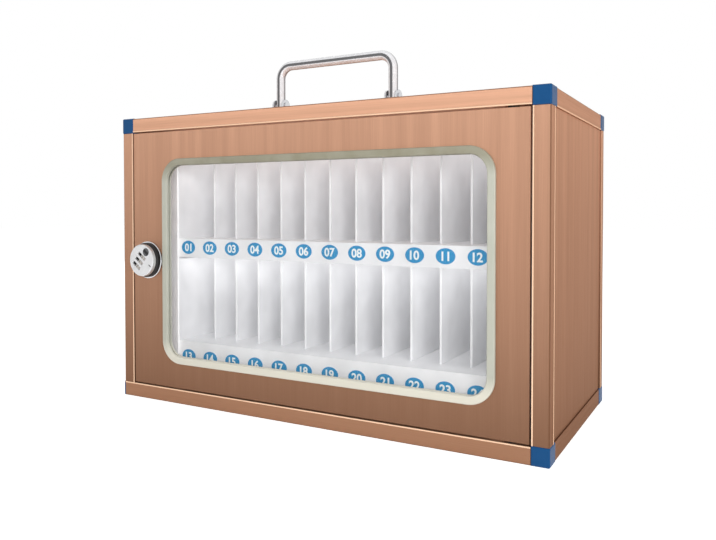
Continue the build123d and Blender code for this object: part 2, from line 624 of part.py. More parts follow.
def cheek(left):
    """A folded sheet beside the slots: a web, a foot and a front flange out to the case's side."""
    top = OPENING_HIGH - CHEEK_TOP_GAP
    web = block(ROW_HALF, CHEEK_OUT, FASCIA_Y, TRAY_REAR, PANEL_THICKNESS, top)
    foot_end = TRAY_REAR - GROOVE_DEPTH
    flange_y = FASCIA_Y + CHEEK_FLANGE_SETBACK
    foot = block(ROW_HALF, foot_reach(left), flange_y, foot_end,
                 PANEL_THICKNESS, PANEL_THICKNESS + CHEEK_SHEET)
    flange_end = side_reach(left, PANEL_IN_X - CHEEK_FLANGE_SIDE_GAP)
    flange = block(ROW_HALF, flange_end, flange_y, flange_y + CHEEK_SHEET,
                   SIDE_RAIL_HEIGHT + CHEEK_FLANGE_FLOOR_GAP, top)
    return in_row(web + foot + flange, left) - side_screw_holes(left) - base_screw_holes()


def shelf_angle(left):
    """The ledge that carries one end of the shelf."""
    y0, y1 = FASCIA_Y + SHELF_ANGLE_END_GAP, LINER_FRONT - DIVIDER_THICKNESS
    ledge = block(ROW_HALF - SHELF_ANGLE_LEG, ROW_HALF, y0, y1, SHELF_UNDER - SHELF_ANGLE_SHEET, SHELF_UNDER)
    leg = block(ROW_HALF - SHELF_ANGLE_SHEET, ROW_HALF, y0, y1, SHELF_UNDER - SHELF_ANGLE_LEG, SHELF_UNDER)
    return in_row(ledge + leg, left) - side_screw_holes(left)


def label_row(z):
    """Oval number plates on a fascia."""
    ovals = []
    for x in SLOT_CENTRES:
        face = Plane(origin=(x, FASCIA_Y, z), x_dir=(1, 0, 0), z_dir=(0, -1, 0)) * Ellipse(
            LABEL_WIDTH / 2, LABEL_HEIGHT / 2)
        ovals.append(extrude(face, amount=LABEL_THICKNESS, dir=(0, -1, 0)))
    return ovals


def make_slots():
    save("lower_tray", lower_tray())
    save("upper_shelf", upper_shelf())
    save("lower_dividers", *divider_row(LOWER_TRAY_TOP - DIVIDER_SEAT, SHELF_UNDER + DIVIDER_SEAT))
    save("upper_dividers", *divider_row(SHELF_TOP - DIVIDER_SEAT, UPPER_DIVIDER_TOP))
    liners = [block(WINDOW_LEFT, WINDOW_RIGHT, LINER_FRONT, LINER_BACK, z0, z1)
              for z0, z1 in ((LOWER_TRAY_TOP, SHELF_UNDER), (SHELF_TOP, UPPER_DIVIDER_TOP))]
    save("rear_liners", *liners)
    save("left_cheek", cheek(True))
    save("right_cheek", cheek(False))
    save("shelf_angles", shelf_angle(True), shelf_angle(False))
    save("cheek_screws", *side_screw_holes(True), *side_screw_holes(False))
    save("upper_number_labels", *label_row(SHELF_TOP - LABEL_DROP))
    save("lower_number_labels", *label_row(LOWER_TRAY_TOP - LOWER_LABEL_DROP))


# ---------------------------------------------------------------- door
def window_slab(grow, y0, y1):
    """A slab of the window's outline, grown outward by a margin."""
    return rounded_slab(WINDOW_RIGHT - WINDOW_LEFT + 2 * grow, WINDOW_HIGH - WINDOW_LOW + 2 * grow,
                        WINDOW_ROUND + grow, y0, y1, ROW_X, (WINDOW_LOW + WINDOW_HIGH) / 2)


def window_gasket():
    """A rubber H profile: its outer groove grips the sheet, its inner groove the pane."""
    y0, y1 = DOOR_FRONT - GASKET_PROUD, DOOR_BACK + GASKET_BACK_PROUD
    ring = window_slab(GASKET_FACE, y0, y1) - window_slab(0.0, y0, y1)
    by_depth = ring.faces().sort_by(Axis.Y)
    ring = fillet(by_depth[0].edges(), GASKET_FRONT_ROUND)
    ring = fillet(ring.faces().sort_by(Axis.Y)[-1].edges(), GASKET_BACK_ROUND)
    web_out = GASKET_FACE - GASKET_GRIP_SHEET
    ring -= window_slab(GASKET_FACE, DOOR_FRONT, DOOR_BACK) - window_slab(web_out, DOOR_FRONT, DOOR_BACK)
    pane_y = DOOR_FRONT + PANE_SETBACK
    return ring - window_slab(GASKET_GRIP_PANE, pane_y, pane_y + PANE_THICKNESS)


def hinge_rod(radius, z0, z1):
    return rod(radius, (HINGE_X, HINGE_Y, z0), (HINGE_X, HINGE_Y, z1))


def hinge_bush(top):
    """A flanged bush in the rail; the flange lies in the gap above or below the door."""
    if top:
        body = hinge_rod(BUSH_RADIUS, OPENING_HIGH, OPENING_HIGH + BUSH_LENGTH)
        flange = hinge_rod(BUSH_FLANGE_RADIUS, OPENING_HIGH - BUSH_FLANGE, OPENING_HIGH)
    else:
        body = hinge_rod(BUSH_RADIUS, OPENING_LOW - BUSH_LENGTH, OPENING_LOW)
        flange = hinge_rod(BUSH_FLANGE_RADIUS, OPENING_LOW, OPENING_LOW + BUSH_FLANGE)
    return body + flange - hinge_rod(PIN_RADIUS + RUNNING_CLEARANCE, 0.0, CASE_HEIGHT)


def make_door():
    sheet = block(-DOOR_EDGE, DOOR_EDGE, DOOR_FRONT, DOOR_BACK, DOOR_LOW, DOOR_HIGH)
    sheet -= window_slab(GASKET_FACE - GASKET_GRIP_SHEET, DOOR_FRONT, DOOR_BACK)
    sheet -= rod(BARREL_RADIUS, (LOCK_X, DOOR_FRONT, LOCK_Z), (LOCK_X, DOOR_BACK, LOCK_Z))
    save("door_panel", sheet)
    save("window_gasket", window_gasket())
    pane_y = DOOR_FRONT + PANE_SETBACK
    save("window_pane", window_slab(GASKET_GRIP_PANE, pane_y, pane_y + PANE_THICKNESS))

    pins = [hinge_rod(PIN_RADIUS, OPENING_LOW - PIN_IN_BUSH, DOOR_LOW + PIN_IN_STILE),
            hinge_rod(PIN_RADIUS, DOOR_HIGH - PIN_IN_STILE, OPENING_HIGH + PIN_IN_BUSH)]
    stile = block(STILE_EDGE - STILE_WIDTH, STILE_EDGE, DOOR_BACK, DOOR_BACK + STILE_THICKNESS,
                  DOOR_LOW, DOOR_HIGH)
    save("door_hinge_stile", stile - pins)
    save("hinge_pins", *pins)
    save("hinge_bushes", hinge_bush(True), hinge_bush(False))

    stop_front = DOOR_BACK + STOP_CLEARANCE
    z0, z1 = OPENING_LOW + STOP_END_GAP, OPENING_HIGH - STOP_END_GAP
    face = block(-INNER_X, -INNER_X + STOP_FACE, stop_front, stop_front + STOP_SHEET, z0, z1)
    leg = block(-INNER_X, -INNER_X + STOP_SHEET, stop_front, -POST_BACK - RAIL_WALL, z0, z1)
    save("door_stop_angle", face + leg)


# ---------------------------------------------------------------- lock
# Its own frame: u to the right and v up on the knob's face, both turned with the knob, w towards the user.
LOCK_PLANE = Plane(
    origin=(LOCK_X, DOOR_FRONT, LOCK_Z),
    x_dir=(cos(radians(LOCK_TURNED)), 0, -sin(radians(LOCK_TURNED))),
    z_dir=(0, -1, 0),
)
CAM_FRONT = DOOR_FRONT + POST_BACK - CAM_POST_CLEARANCE  # w of the cam's front face
CAM_BACK = CAM_FRONT - CAM_THICKNESS
BARREL_END = CAM_FRONT + CAM_BARREL_CLEARANCE
STEM_END = FLANGE_FLOOR + STEM_CLEARANCE
HEAD_BACK = FLANGE_THICKNESS + KNOB_GAP
HEAD_FRONT = KNOB_PROUD - FACE_PLATE
RIM_BACK = KNOB_PROUD - FACE_PLATE_RIM
NECK_RADIUS = FACE_PLATE_RADIUS - FACE_PLATE_WALL
DIAL_W = KNOB_PROUD + DIAL_PROUD - DIAL_RADIUS
DIAL_VS = [DIAL_STACK_V + DIAL_PITCH * ((DIAL_COUNT - 1) / 2 - i) for i in range(DIAL_COUNT)]
DIAL_SHOWN = sqrt(DIAL_RADIUS**2 - max(HEAD_FRONT - DIAL_W, 0.0)**2)  # half its length at the plate's back
DIAL_WINDOW_U0 = DIAL_STACK_U - DIAL_SHOWN - DIAL_CLEARANCE - DIAL_NOTCH
DIAL_WINDOW_U1 = DIAL_STACK_U + DIAL_SHOWN + DIAL_CLEARANCE


def turned(radius, w0, w1, u=0.0, v=0.0):
    """A cylinder along w in the lock's frame."""
    return Pos(u, v, w0) * Cylinder(radius, w1 - w0, align=STANDING)


def dial_axis_rod(radius, v0, v1):
    """A cylinder along the dials' shared axis in the lock's frame."""
    return rod(radius, (DIAL_STACK_U, v0, DIAL_W), (DIAL_STACK_U, v1, DIAL_W))


def lock_body():
    """Bezel and barrel in one casting."""
    bezel = turned(FLANGE_RADIUS, 0.0, FLANGE_THICKNESS)
    bezel = fillet(bezel.edges().sort_by(Axis.Z)[-1], FLANGE_ROUND)
    body = bezel + turned(BARREL_RADIUS, BARREL_END, 0.0)
    body -= turned(STEM_RADIUS + STEM_CLEARANCE, FLANGE_FLOOR, FLANGE_THICKNESS)
    return body - turned(SPINDLE_RADIUS + RUNNING_CLEARANCE, BARREL_END, FLANGE_FLOOR)


def lock_nut():
    hexagon = RegularPolygon(NUT_ACROSS_FLATS / 2, 6, major_radius=False)
    nut = Pos(0, 0, -DOOR_SHEET - NUT_THICKNESS) * extrude(hexagon, amount=NUT_THICKNESS)
    return nut - turned(BARREL_RADIUS, -DOOR_SHEET - NUT_THICKNESS, -DOOR_SHEET)


def dial_ends():
    """Where the dial pocket starts and ends along v."""
    reach = DIAL_THICKNESS / 2 + DIAL_CLEARANCE
    return DIAL_VS[-1] - reach, DIAL_VS[0] + reach


def knob_body():
    """Skirt, taper and neck, stem, spindle and cam drive; the dials' pocket opens to the front."""
    taper_back = HEAD_BACK + KNOB_SKIRT
    body = turned(KNOB_RADIUS, HEAD_BACK, taper_back) + turned(STEM_RADIUS, STEM_END, HEAD_BACK)
    body += Pos(0, 0, taper_back) * Cone(
        KNOB_RADIUS, FACE_PLATE_RADIUS, RIM_BACK - taper_back, align=STANDING)
    body += turned(NECK_RADIUS, RIM_BACK, HEAD_FRONT)
    body += turned(SPINDLE_RADIUS, CAM_FRONT, STEM_END)
    body += block(-DRIVE_SIZE / 2, DRIVE_SIZE / 2, -DRIVE_SIZE / 2, DRIVE_SIZE / 2, CAM_BACK, CAM_FRONT)
    v0, v1 = dial_ends()
    half = DIAL_RADIUS + DIAL_CLEARANCE
    body -= dial_axis_rod(half, v0, v1)
    body -= block(DIAL_STACK_U - half, DIAL_STACK_U + half, v0, v1, DIAL_W, HEAD_FRONT)
    body -= block(DIAL_WINDOW_U0, DIAL_STACK_U, v0, v1, HEAD_FRONT - DIAL_NOTCH_DEPTH, HEAD_FRONT)
    seat_room = block(DIAL_STACK_U - DIAL_AXLE_RADIUS, DIAL_STACK_U + DIAL_AXLE_RADIUS,
                      v0 - DIAL_AXLE_SEAT, v1 + DIAL_AXLE_SEAT, DIAL_W, HEAD_FRONT)
    body -= seat_room + dial_axis_rod(DIAL_AXLE_RADIUS, v0 - DIAL_AXLE_SEAT, v1 + DIAL_AXLE_SEAT)
    plug_floor = KNOB_PROUD - KEY_PLUG_LENGTH - STEM_CLEARANCE
    body -= turned(KEY_PLUG_RADIUS + RUNNING_CLEARANCE, plug_floor, HEAD_FRONT, v=KEY_PLUG_V)
    return body - cam_screw()


def face_plate():
    """The bright rimmed plate over the knob's neck: three dial windows, the key plug's hole and a pointer."""
    plate = turned(FACE_PLATE_RADIUS, RIM_BACK, KNOB_PROUD)
    plate = fillet(plate.edges().sort_by(Axis.Z)[-1], FACE_PLATE_ROUND)
    plate -= turned(NECK_RADIUS, RIM_BACK, HEAD_FRONT)
    half_v = DIAL_THICKNESS / 2 + DIAL_CLEARANCE
    for v in DIAL_VS:
        plate -= block(DIAL_WINDOW_U0, DIAL_WINDOW_U1, v - half_v, v + half_v, HEAD_FRONT, KNOB_PROUD)
    plate -= turned(KEY_PLUG_RADIUS + RUNNING_CLEARANCE, HEAD_FRONT, KNOB_PROUD, v=KEY_PLUG_V)
    return plate - block(POINTER_U - POINTER_LENGTH / 2, POINTER_U + POINTER_LENGTH / 2,
                         POINTER_V - POINTER_WIDTH / 2, POINTER_V + POINTER_WIDTH / 2,
                         KNOB_PROUD - POINTER_DEPTH, KNOB_PROUD)


def dial_wheel(v):
    """A fluted number wheel."""
    half = DIAL_THICKNESS / 2
    wheel = dial_axis_rod(DIAL_RADIUS, v - half, v + half)
    flutes = []
    for i in range(DIAL_FLUTES):
        angle = radians(360 * i / DIAL_FLUTES)
        du, dw = DIAL_RADIUS * cos(angle), DIAL_RADIUS * sin(angle)
        flutes.append(rod(DIAL_FLUTE_DEPTH, (DIAL_STACK_U + du, v - half, DIAL_W + dw),
                          (DIAL_STACK_U + du, v + half, DIAL_W + dw)))
    return wheel - flutes - dial_axis_rod(DIAL_AXLE_RADIUS + RUNNING_CLEARANCE, v - half, v + half)


def key_plug():
    start = KNOB_PROUD - KEY_PLUG_LENGTH
    plug = turned(KEY_PLUG_RADIUS, start, KNOB_PROUD, v=KEY_PLUG_V)
    return plug - block(-KEYWAY_WIDTH / 2, KEYWAY_WIDTH / 2, KEY_PLUG_V - KEYWAY_HEIGHT / 2,
                        KEY_PLUG_V + KEYWAY_HEIGHT / 2, KNOB_PROUD - KEYWAY_DEPTH, KNOB_PROUD)


def cam_screw():
    return turned(CAM_SCREW_RADIUS, CAM_BACK, CAM_BACK + CAM_SCREW_LENGTH) + turned(
        CAM_SCREW_HEAD_RADIUS, CAM_BACK - CAM_SCREW_HEAD, CAM_BACK)


def lock_cam():
    """A round-ended tongue, hanging straight down when the lock is open, in the part's own frame."""
    front, back = DOOR_FRONT - CAM_FRONT, DOOR_FRONT - CAM_BACK
    radius = CAM_WIDTH / 2
    hub = rod(radius, (LOCK_X, front, LOCK_Z), (LOCK_X, back, LOCK_Z))
    tip_z = LOCK_Z - CAM_REACH + radius
    tip = rod(radius, (LOCK_X, front, tip_z), (LOCK_X, back, tip_z))
    tongue = block(LOCK_X - radius, LOCK_X + radius, front, back, tip_z, LOCK_Z)
    square = LOCK_PLANE * block(-DRIVE_SIZE / 2, DRIVE_SIZE / 2, -DRIVE_SIZE / 2, DRIVE_SIZE / 2,
                                CAM_BACK, CAM_FRONT)
    return hub + tip + tongue - square


def make_lock():
    v0, v1 = dial_ends()
    axle = dial_axis_rod(DIAL_AXLE_RADIUS, v0 - DIAL_AXLE_SEAT, v1 + DIAL_AXLE_SEAT)
    pieces = {"lock_body": lock_body(), "lock_nut": lock_nut(), "knob_body": knob_body(),
              "knob_face_plate": face_plate(), "dial_axle": axle, "key_plug": key_plug(),
              "cam_screw": cam_screw()}
    for i, v in enumerate(DIAL_VS):
        pieces[f"dial_wheel_{i + 1}"] = dial_wheel(v)
    for name, piece in pieces.items():
        save(name, LOCK_PLANE * piece)
    save("lock_cam", lock_cam())


# ---------------------------------------------------------------- handle
def rivet_xs():
    return [leg + side * RIVET_OFFSET for leg in LEG_CENTRES for side in (-1, 1)]


def handle_bail():
    """A bent round bar whose ends turn on the pivot pins."""
    left, right = LEG_CENTRES
    corners = [(left, HANDLE_Y, PIVOT_Z), (left, HANDLE_Y, HANDLE_BAR_Z),
               (right, HANDLE_Y, HANDLE_BAR_Z), (right, HANDLE_Y, PIVOT_Z)]
    path = FilletPolyline(*corners, radius=HANDLE_BEND)
    section = Plane(origin=corners[0], z_dir=(0, 0, 1)) * Circle(HANDLE_BAR_RADIUS)
    bar = sweep(section, path=path)
    for x in LEG_CENTRES:
        bar += Pos(x, HANDLE_Y, PIVOT_Z) * Sphere(HANDLE_BAR_RADIUS)
        bar -= rod(PIVOT_PIN_RADIUS + RUNNING_CLEARANCE, (x - HANDLE_BAR_RADIUS, HANDLE_Y, PIVOT_Z),
                   (x + HANDLE_BAR_RADIUS, HANDLE_Y, PIVOT_Z))
    return bar


def ear_faces(x):
    """Inner and outer x of the two ears beside one leg."""
    inner = HANDLE_BAR_RADIUS + EAR_CLEARANCE
    return [(x + side * inner, x + side * (inner + EAR_THICKNESS)) for side in (-1, 1)]


def pivot_pin(x):
    (_, low), (_, high) = ear_faces(x)
    pin = rod(PIVOT_PIN_RADIUS, (low, HANDLE_Y, PIVOT_Z), (high, HANDLE_Y, PIVOT_Z))
    for face, side in ((low, -1), (high, 1)):
        head_end = face + side * PIVOT_PIN_HEAD
        pin += rod(PIVOT_PIN_HEAD_RADIUS, (face, HANDLE_Y, PIVOT_Z), (head_end, HANDLE_Y, PIVOT_Z))
    return pin


def handle_bracket(x):
    """A foot plate with two ears."""
    base = Pos(x, HANDLE_Y, PANEL_OUT_Z) * extrude(
        RectangleRounded(BRACKET_LENGTH, BRACKET_WIDTH, BRACKET_ROUND), amount=BRACKET_PLATE)
    for inner, outer in ear_faces(x):
        ear = block(inner, outer, HANDLE_Y - EAR_RADIUS, HANDLE_Y + EAR_RADIUS, PANEL_OUT_Z, PIVOT_Z)
        base += ear + rod(EAR_RADIUS, (inner, HANDLE_Y, PIVOT_Z), (outer, HANDLE_Y, PIVOT_Z))
    return base - pivot_pin(x) - [rivet(rx) for rx in rivet_xs()]


def rivet(x):
    """A blind rivet through a foot plate and the top panel."""
    plate_top = PANEL_OUT_Z + BRACKET_PLATE
    shank = rod(RIVET_RADIUS, (x, HANDLE_Y, PANEL_IN_Z), (x, HANDLE_Y, plate_top))
    head = rod(RIVET_HEAD_RADIUS, (x, HANDLE_Y, plate_top), (x, HANDLE_Y, plate_top + RIVET_HEAD))
    head = fillet(head.edges().sort_by(Axis.Z)[-1], RIVET_HEAD / 2)
    tail = rod(RIVET_TAIL_RADIUS, (x, HANDLE_Y, PANEL_IN_Z - RIVET_TAIL), (x, HANDLE_Y, PANEL_IN_Z))
    return shank + head + tail


def make_handle():
    save("handle_bail", handle_bail())
    save("handle_brackets", *[handle_bracket(x) for x in LEG_CENTRES])
    save("handle_pivot_pins", *[pivot_pin(x) for x in LEG_CENTRES])
    save("handle_rivets", *[rivet(x) for x in rivet_xs()])


os.makedirs("parts", exist_ok=True)
make_frame()
make_panels()
make_slots()
make_door()
make_lock()
make_handle()
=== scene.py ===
"""Finishes, printed numbers, lock details and the studio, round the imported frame, in metres."""

import json
import math

import bmesh
import bpy
from mathutils import Matrix, Vector


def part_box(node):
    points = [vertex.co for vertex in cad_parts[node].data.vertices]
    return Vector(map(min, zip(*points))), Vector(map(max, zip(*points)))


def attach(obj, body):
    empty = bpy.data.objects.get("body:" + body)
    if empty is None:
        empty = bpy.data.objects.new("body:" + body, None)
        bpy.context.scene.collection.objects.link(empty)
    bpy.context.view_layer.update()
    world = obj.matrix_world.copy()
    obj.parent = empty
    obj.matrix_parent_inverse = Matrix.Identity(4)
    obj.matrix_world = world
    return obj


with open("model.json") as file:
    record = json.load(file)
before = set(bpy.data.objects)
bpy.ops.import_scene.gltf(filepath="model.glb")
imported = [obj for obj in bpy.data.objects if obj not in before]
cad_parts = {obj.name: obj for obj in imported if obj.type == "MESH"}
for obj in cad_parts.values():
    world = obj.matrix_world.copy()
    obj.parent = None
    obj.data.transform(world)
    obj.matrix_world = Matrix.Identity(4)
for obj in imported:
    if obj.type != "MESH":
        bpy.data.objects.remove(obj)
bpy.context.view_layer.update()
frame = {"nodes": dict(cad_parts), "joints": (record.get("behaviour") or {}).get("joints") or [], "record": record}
nodes = frame["nodes"]
scene = bpy.context.scene
MM = 0.001

# ---------------------------------------------------------------- the picture
IMAGE_WIDTH, IMAGE_HEIGHT = 716, 540
FOCAL_PIXELS = 696.05
PRINCIPAL_POINT = (376.90, 224.08)
CAMERA_PLACE = Vector((0.35505, -0.62640, 0.19652))
CAMERA_YAW = 0.49060
CAMERA_PITCH = -0.022305
SENSOR = 36.0
CLIP_START = 10 * MM

# ---------------------------------------------------------------- places taken from the frame
joints = {joint["name"]: joint for joint in frame["joints"]}
LABEL_NODES = ("upper_number_labels", "lower_number_labels")
SLOTS_IN_ROW = 12
openings = frame["record"]["physics"]["openings"]
slot_boxes = {entry["name"]: entry["box_m"] for entry in openings if entry["name"].startswith("slot_")}
LOCK_CENTRE = Vector(joints["lock_turn"]["pos_m"])
DIAL_AXIS = Vector(joints["dial_1_turn"]["axis"])
DIAL_FIGURES = 10


# ---------------------------------------------------------------- shader helpers
ROUNDING_STARTS, ROUNDING_FULL = 0.10, 0.38  # product of two of the normal's parts
EDGE_FULL, EDGE_ENDS = 0.80, 0.995  # cosine of the softened normal's lean


class Shader:
    """A material with a Principled shader, and short ways to wire nodes into it."""

    def __init__(self, name, colour, roughness, metallic=0.0, **sockets):
        self.material = bpy.data.materials.new(name)
        self.material.use_nodes = True
        self.tree = self.material.node_tree
        self.surface = self.tree.nodes["Principled BSDF"]
        self.surface.inputs["Base Color"].default_value = (*colour, 1.0)
        self.surface.inputs["Roughness"].default_value = roughness
        self.surface.inputs["Metallic"].default_value = metallic
        for socket, value in sockets.items():
            self.surface.inputs[socket.replace("_", " ")].default_value = value

    def node(self, kind, **inputs):
        made = self.tree.nodes.new(kind)
        for socket, value in inputs.items():
            self.feed(made.inputs[socket.replace("_", " ")], value)
        return made

    def feed(self, socket, value):
        if isinstance(value, bpy.types.NodeSocket):
            self.tree.links.new(value, socket)
        else:
            socket.default_value = value

    def place(self, scale=(1.0, 1.0, 1.0)):
        """Object coordinates in metres, scaled along each axis."""
        source = self.tree.nodes.new("ShaderNodeTexCoord").outputs["Object"]
        return self.node("ShaderNodeMapping", Vector=source, Scale=scale).outputs["Vector"]

    def noise(self, scale, stretch=(1.0, 1.0, 1.0), detail=3.0, roughness=0.5):
        made = self.node("ShaderNodeTexNoise", Vector=self.place(stretch), Scale=scale, Detail=detail,
                         Roughness=roughness)
        return made.outputs["Fac"]

    def spread(self, value, low, high, start=0.3, end=0.7):
        """Stretch a value's range, from start to end, onto low to high."""
        made = self.node("ShaderNodeMapRange", Value=value)
        for socket, number in (("From Min", start), ("From Max", end), ("To Min", low), ("To Max", high)):
            made.inputs[socket].default_value = number
        return made.outputs["Result"]

    def mix(self, factor, first, second):
        """The first colour at a factor of 0, the second at 1."""
        made = self.tree.nodes.new("ShaderNodeMix")
        made.data_type = "RGBA"
        self.feed(made.inputs["Factor"], factor)
        for socket, colour in ((made.inputs[6], first), (made.inputs[7], second)):
            self.feed(socket, colour if isinstance(colour, bpy.types.NodeSocket) else (*colour, 1.0))
        return made.outputs[2]

    def sums(self, operation, first, second=0.0):
        """A math node on one or two values."""
        made = self.tree.nodes.new("ShaderNodeMath")
        made.operation = operation
        self.feed(made.inputs[0], first)
        self.feed(made.inputs[1], second)
        return made.outputs[0]

    def along(self, axis):
        """The place along one of the part's axes, in metres."""
        return self.node("ShaderNodeSeparateXYZ", Vector=self.place()).outputs[axis]

    def proud(self, limits):
        """1 beyond any of the limits on |x|, |y| and |z|, else 0."""
        beyond = [self.sums("GREATER_THAN", self.sums("ABSOLUTE", self.along(axis)), limit)
                  for axis, limit in zip("XYZ", limits)]
        return self.sums("MAXIMUM", self.sums("MAXIMUM", beyond[0], beyond[1]), beyond[2])

    def colour(self, socket):
        self.feed(self.surface.inputs["Base Color"], socket)

    def roughness(self, socket):
        self.feed(self.surface.inputs["Roughness"], socket)

    def bump(self, height, distance, strength=1.0, edge_radius=0.0):
        """Surface relief, over edges softened by edge_radius."""
        relief = self.node("ShaderNodeBump", Height=height, Distance=distance, Strength=strength)
        if edge_radius:
            relief.inputs["Normal"].default_value = (0.0, 0.0, 0.0)
            softened = self.node("ShaderNodeBevel", Radius=edge_radius)
            self.feed(relief.inputs["Normal"], softened.outputs["Normal"])
        self.feed(self.surface.inputs["Normal"], relief.outputs["Normal"])

    def outward(self, axis):
        """How far the surface faces along one of the part's axes, from 0 to 1."""
        normal = self.tree.nodes.new("ShaderNodeTexCoord").outputs["Normal"]
        return self.sums("ABSOLUTE", self.node("ShaderNodeSeparateXYZ", Vector=normal).outputs[axis])

    def rounding(self):
        """0 on faces square to the axes, 1 on the roundings between them."""
        pairs = [self.sums("MULTIPLY", self.outward(a), self.outward(b)) for a, b in ("XY", "YZ", "XZ")]
        slant = self.sums("MAXIMUM", self.sums("MAXIMUM", pairs[0], pairs[1]), pairs[2])
        return self.spread(slant, 0.0, 1.0, ROUNDING_STARTS, ROUNDING_FULL)

    def edge_mask(self, radius):
        """1 on sharp edges, 0 on flats: how far a softened normal leans from the true one."""
        soft = self.node("ShaderNodeBevel", Radius=radius).outputs["Normal"]
        true = self.tree.nodes.new("ShaderNodeNewGeometry").outputs["Normal"]
        lean = self.tree.nodes.new("ShaderNodeVectorMath")
        lean.operation = "DOT_PRODUCT"
        self.feed(lean.inputs[0], soft)
        self.feed(lean.inputs[1], true)
        return self.spread(lean.outputs["Value"], 1.0, 0.0, EDGE_FULL, EDGE_ENDS)


def linear(red, green, blue):
    """A colour given as 0 to 255 screen values, made linear for a shader by the sRGB curve."""
    def one(value):
        value /= 255
        return value / 12.92 if value <= 0.04045 else ((value + 0.055) / 1.055) ** 2.4
    return one(red), one(green), one(blue)


# ---------------------------------------------------------------- finishes
ROSE_HIGH = linear(218, 168, 139)
# Painted shade: the case's colour darkens towards the next tone at its foot.
ROSE_FOOT_SHADE = linear(126, 93, 72)
ROSE_DEEP = linear(124, 87, 66)
ROSE_EDGE_SHADE = linear(112, 78, 57)
ROSE_LIP_HIGHLIGHT = linear(248, 210, 178)
ROSE_SHEEN = linear(226, 178, 148)
RAIL_GAIN = 1.24  # painted sheen: what is brushed from side to side is painted paler than the door,
RAIL_FOOT_GAIN = 1.75  # and more so low down, where it lifts the painted shade at the foot
CASE_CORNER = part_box("corner_rear_right_top")[1]
LIP_HEIGHT = 0.2 * MM
LIPS_FROM = [limit - LIP_HEIGHT for limit in CASE_CORNER]  # of the rose pieces, only lips reach past these
ACROSS = 1.0
ALONG = 0.006  # grain runs this much slower along the brushing than across it
GRAINS = {"x": (ALONG, ACROSS, ACROSS), "y": (ACROSS, ALONG, ACROSS), "z": (ACROSS, ACROSS, ALONG)}
SCRATCH_SCALE, BAND_SCALE = 2600.0, 95.0
SCRATCH_TONE, BAND_TONE, EDGE_SHADE_TONE = 0.20, 0.22, 0.8  # how far each pulls towards its own colour; the last pull is painted shade on edges and roundings
ROSE_EDGE_SHADE_REACH, ROSE_SOFTENING = 0.6 * MM, 0.35 * MM
SCRATCH_DEPTH = 0.06 * MM


def brushed_rose(axis, gain=1.0, foot_gain=1.0):
    """Anodised aluminium brushed along one axis: fine scratches and slow tone bands, with painted shade that
    darkens it towards the foot and on its edges and roundings, and a painted highlight that brightens its lips.
    """
    high, deep = (tuple(gain * c for c in tone) for tone in (ROSE_HIGH, ROSE_DEEP))
    low = tuple(foot_gain * c for c in ROSE_FOOT_SHADE)
    shader = Shader(f"rose_aluminium_{axis}", high, roughness=0.42, metallic=0.6, Anisotropic=0.35,
                    Specular_IOR_Level=0.2, Specular_Tint=(*ROSE_SHEEN, 1.0))
    stretch = GRAINS[axis]
    scratches = shader.noise(SCRATCH_SCALE, stretch, detail=4.0, roughness=0.6)
    bands = shader.noise(BAND_SCALE, stretch, detail=2.0)
    # Painted shade: the colour darkens from the top tone to the foot tone towards the bottom of the case.
    height = shader.spread(shader.along("Z"), 0.0, 1.0, start=0.0, end=CASE_CORNER.z)
    banded = shader.mix(shader.spread(bands, 0.0, BAND_TONE), shader.mix(height, low, high), deep)
    streaked = shader.mix(shader.spread(scratches, 0.0, SCRATCH_TONE), banded, deep)
    # Painted shade: sharp edges and the roundings between faces are darkened towards the edge tone.
    edges = shader.sums("MAXIMUM", shader.edge_mask(ROSE_EDGE_SHADE_REACH), shader.rounding())
    painted_edge_tone = shader.spread(edges, 0.0, EDGE_SHADE_TONE, start=0.0, end=1.0)
    rounded = shader.mix(painted_edge_tone, streaked, ROSE_EDGE_SHADE)
    # Painted highlight: the lips that stand past the case's corner limits are painted pale.
    shader.colour(shader.mix(shader.proud(LIPS_FROM), rounded, ROSE_LIP_HIGHLIGHT))
    shader.roughness(shader.spread(scratches, low=0.34, high=0.52))
    shader.bump(scratches, SCRATCH_DEPTH, strength=0.35, edge_radius=ROSE_SOFTENING)
    return shader.material


GRAIN_SCALE, CLOUD_SCALE = 1500.0, 38.0
CLOUD_SHADE = 0.88  # the cloudy patches' share of the colour
GRAIN_DEPTH, PRINT_DEPTH = 0.03 * MM, 0.01 * MM
PLASTIC_EDGE_LIGHT_REACH, PLASTIC_SOFTENING = 0.5 * MM, 0.3 * MM
PLASTIC_EDGE_LIGHT_TONE = 0.55


def plastic(name, colour, painted_edge_tone, roughness, relief=GRAIN_DEPTH, gloss=0.5):
    """Moulded plastic: a fine spark-eroded grain, faint cloudiness and edges made slightly paler by a painted
    highlight.
    """
    shader = Shader(name, colour, roughness, Specular_IOR_Level=gloss)
    cloud = shader.noise(CLOUD_SCALE, detail=2.0)
    grains = shader.noise(GRAIN_SCALE, detail=3.0)
    darker = tuple(CLOUD_SHADE * c for c in colour)
    body = shader.mix(shader.spread(cloud, 0.0, 1.0), darker, colour)
    # Painted highlight: the edges are painted paler, towards the edge colour.
    edges = shader.edge_mask(PLASTIC_EDGE_LIGHT_REACH)
    shader.colour(shader.mix(shader.spread(edges, 0.0, PLASTIC_EDGE_LIGHT_TONE, start=0.0, end=1.0), body, painted_edge_tone))
    shader.roughness(shader.spread(grains, low=roughness - 0.06, high=roughness + 0.08))
    shader.bump(grains, relief, strength=0.5, edge_radius=PLASTIC_SOFTENING)
    return shader.material


HAZE_SCALE, POLISH_SCALE = 160.0, 2400.0
HAZE_SHADE = 0.90  # the hazy patches' share of the colour
POLISH_DEPTH, METAL_SOFTENING = 0.012 * MM, 0.25 * MM


